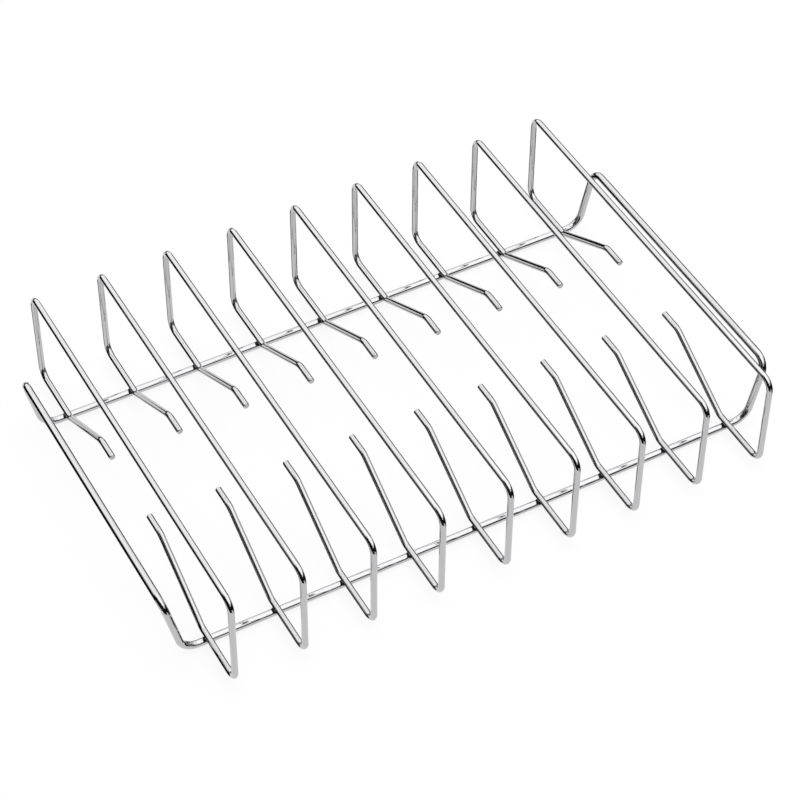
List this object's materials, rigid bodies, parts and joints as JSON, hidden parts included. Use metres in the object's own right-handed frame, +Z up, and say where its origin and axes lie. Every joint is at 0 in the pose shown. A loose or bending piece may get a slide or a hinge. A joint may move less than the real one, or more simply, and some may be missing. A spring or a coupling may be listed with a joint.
{
  "type": "rib rack",
  "caption": "Chromed wire rack that holds slabs of ribs upright: bent hoops with inward prongs welded across a ring-shaped base frame with raised ends.",
  "frame": {"origin": "middle of the rack's outline in plan, at the height of the rails' underside", "axes": "+X along the rails, +Y to the back along the hoops, +Z up"},
  "size_m": [0.4294, 0.2922, 0.0799],
  "materials": {
    "frame_wire": "polished",
    "hoop_wire": "polished"
  },
  "bodies": {
    "root": {"base_frame": "frame_wire", "rib_hoop_1": "hoop_wire", "rib_hoop_2": "hoop_wire", "rib_hoop_3": "hoop_wire", "rib_hoop_4": "hoop_wire", "rib_hoop_5": "hoop_wire", "rib_hoop_6": "hoop_wire", "rib_hoop_7": "hoop_wire", "rib_hoop_8": "hoop_wire", "rib_hoop_9": "hoop_wire"}
  },
  "joints": []
}
